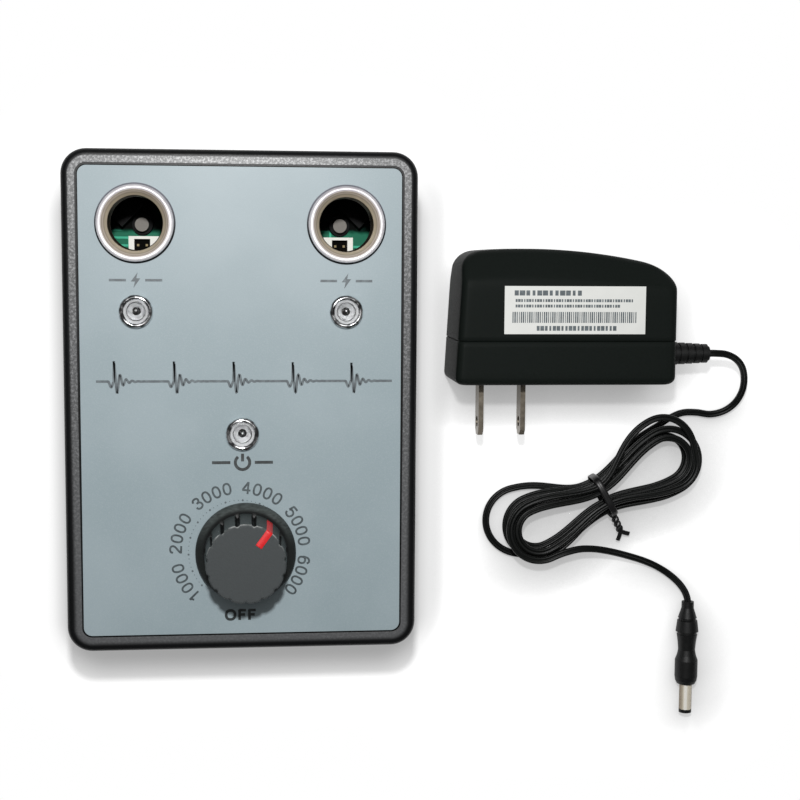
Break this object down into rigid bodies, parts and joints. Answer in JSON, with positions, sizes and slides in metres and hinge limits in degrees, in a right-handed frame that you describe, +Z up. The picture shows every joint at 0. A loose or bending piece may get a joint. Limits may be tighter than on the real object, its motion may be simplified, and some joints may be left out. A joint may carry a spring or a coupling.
{
  "type": "spark plug tester",
  "caption": "Boxed bench tester for spark plugs: plug sockets with sprung contacts, lamps, a rotary speed control with switch, and a mains adapter on a hanked cord.",
  "frame": {"origin": "middle of the tester's case, on the table under its feet", "axes": "+X to the adapter's side, +Y to the socket end, +Z up out of the front panel"},
  "size_m": [0.2063, 0.1741, 0.0598],
  "materials": {
    "case_black": "fine texture",
    "panel_grey": "satin paint with dark print",
    "steel": "zinc plated",
    "foot_rubber": "matt",
    "socket_nickel": "turned, dull nickel plate",
    "plated_brass": "plated",
    "wire_green": "insulated",
    "wire_red": "insulated",
    "inner_black": "moulded",
    "lamp_chrome": "bright",
    "lamp_clear": "clear resin",
    "knob_grey": "matt",
    "pointer_red": "smooth",
    "resin_brown": "laminate",
    "board_green": "solder mask",
    "nylon_white": "moulded",
    "sleeve_blue": "shrunk sleeve",
    "adapter_black": "fine texture",
    "label_white": "film",
    "blade_nickel": "nickel plate",
    "winding_yellow": "tape",
    "cord_black": "soft vinyl",
    "tie_black": "wire cored strip"
  },
  "bodies": {
    "case": {"front_case": "case_black", "rear_case": "case_black", "front_panel": "panel_grey", "case_screws": "steel", "rubber_feet": "foot_rubber", "plug_socket_left": "socket_nickel", "plug_socket_right": "socket_nickel", "socket_nuts": "plated_brass", "socket_earth_tags": "plated_brass", "earth_wires": "wire_green", "contact_post_left": "inner_black", "contact_post_right": "inner_black", "contact_spring_left": "steel", "contact_spring_right": "steel", "signal_bezel_left": "lamp_chrome", "signal_bezel_right": "lamp_chrome", "power_bezel": "lamp_chrome", "signal_lamp_left": "lamp_clear", "signal_lamp_right": "lamp_clear", "power_lamp": "lamp_clear", "lamp_leads": "steel", "control_body": "plated_brass", "control_wafer": "resin_brown", "control_switch": "plated_brass", "control_nut": "plated_brass", "control_washer": "plated_brass", "control_wires": "wire_red", "main_board": "board_green", "board_screws": "steel", "lead_header_left": "nylon_white", "lead_header_right": "nylon_white", "header_pins": "plated_brass", "spark_coil_left": "inner_black", "spark_coil_right": "inner_black", "storage_capacitors": "sleeve_blue", "driver_packages": "inner_black", "timer_chip": "inner_black", "power_jack": "inner_black", "power_jack_pin": "plated_brass"},
    "knob": {"knob": "knob_grey", "knob_pointer": "pointer_red", "control_shaft": "steel", "control_wiper": "resin_brown"},
    "contact_left": {"contact_pin_left": "plated_brass"},
    "contact_right": {"contact_pin_right": "plated_brass"},
    "power_lead": {"adapter_back_shell": "adapter_black", "adapter_face_shell": "adapter_black", "adapter_label": "label_white", "mains_blades": "blade_nickel", "adapter_board": "resin_brown", "adapter_transformer": "winding_yellow", "adapter_capacitor": "sleeve_blue", "cord_strain_relief": "cord_black", "cord_lead": "cord_black", "cord_hank": "cord_black", "cord_tail": "cord_black", "cord_tie": "tie_black", "dc_plug_grip": "cord_black", "dc_plug_barrel": "blade_nickel", "dc_plug_insulator": "cord_black"}
  },
  "joints": [
    {"name": "knob_turn", "type": "hinge", "parent": "case", "child": "knob", "pos_m": [0.0008, -0.0418, 0.045], "axis": [0, 0, 1], "range_deg": [-84, 216]},
    {"name": "contact_left_press", "type": "slide", "parent": "case", "child": "contact_left", "axis": [0, 0, 1], "range_m": [-0.0022, 0], "stiffness_N_per_m": 600, "deforming": ["contact_spring_left"]},
    {"name": "contact_right_press", "type": "slide", "parent": "case", "child": "contact_right", "axis": [0, 0, 1], "range_m": [-0.0022, 0], "stiffness_N_per_m": 600, "deforming": ["contact_spring_right"]},
    {"name": "lead_lift", "type": "slide", "parent": "case", "child": "power_lead", "axis": [0, 0, 1], "range_m": [0, 0.06]}
  ]
}
